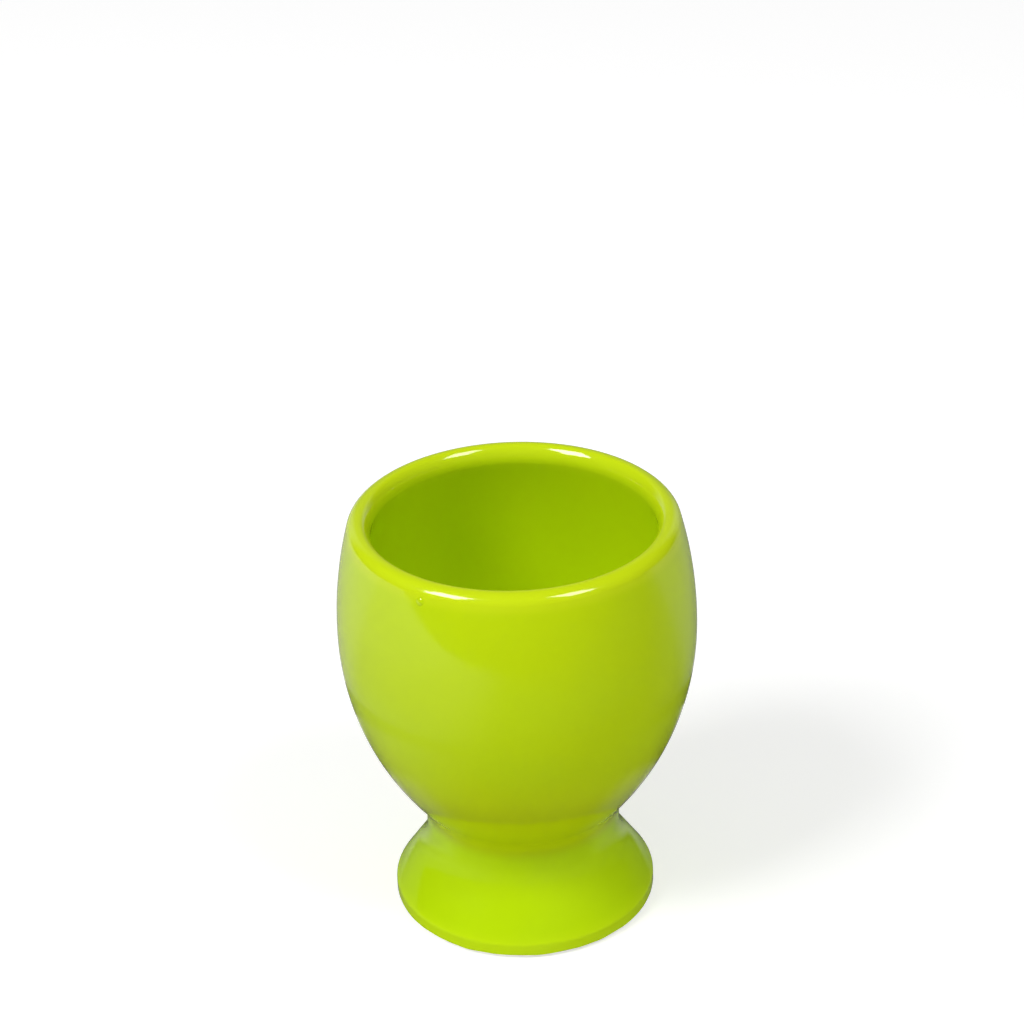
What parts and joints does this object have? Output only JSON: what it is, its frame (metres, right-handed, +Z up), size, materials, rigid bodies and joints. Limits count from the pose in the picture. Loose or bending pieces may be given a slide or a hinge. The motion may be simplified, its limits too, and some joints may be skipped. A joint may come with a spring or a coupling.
{
  "type": "egg cup",
  "caption": "Glazed ceramic egg cup with a round bowl that leans in to a rounded lip, a short waist and a hollow flared foot.",
  "frame": {"origin": "on the ground, at the middle of the bare ring that the cup stands on", "axes": "+Z up, along the axis that the cup is turned about, from the foot to the open mouth"},
  "size_m": [0.052, 0.052, 0.0634],
  "materials": {
    "lime_glaze": "glossy lime green glaze",
    "clay_body": "bare fired earthenware, matt cream white",
    "slip": "fired slip, matt"
  },
  "bodies": {
    "root": {"bowl": "clay_body", "pedestal_foot": "clay_body", "joining_slip": "slip", "outer_glaze": "lime_glaze", "inner_glaze": "lime_glaze", "hollow_glaze": "lime_glaze"}
  },
  "joints": []
}
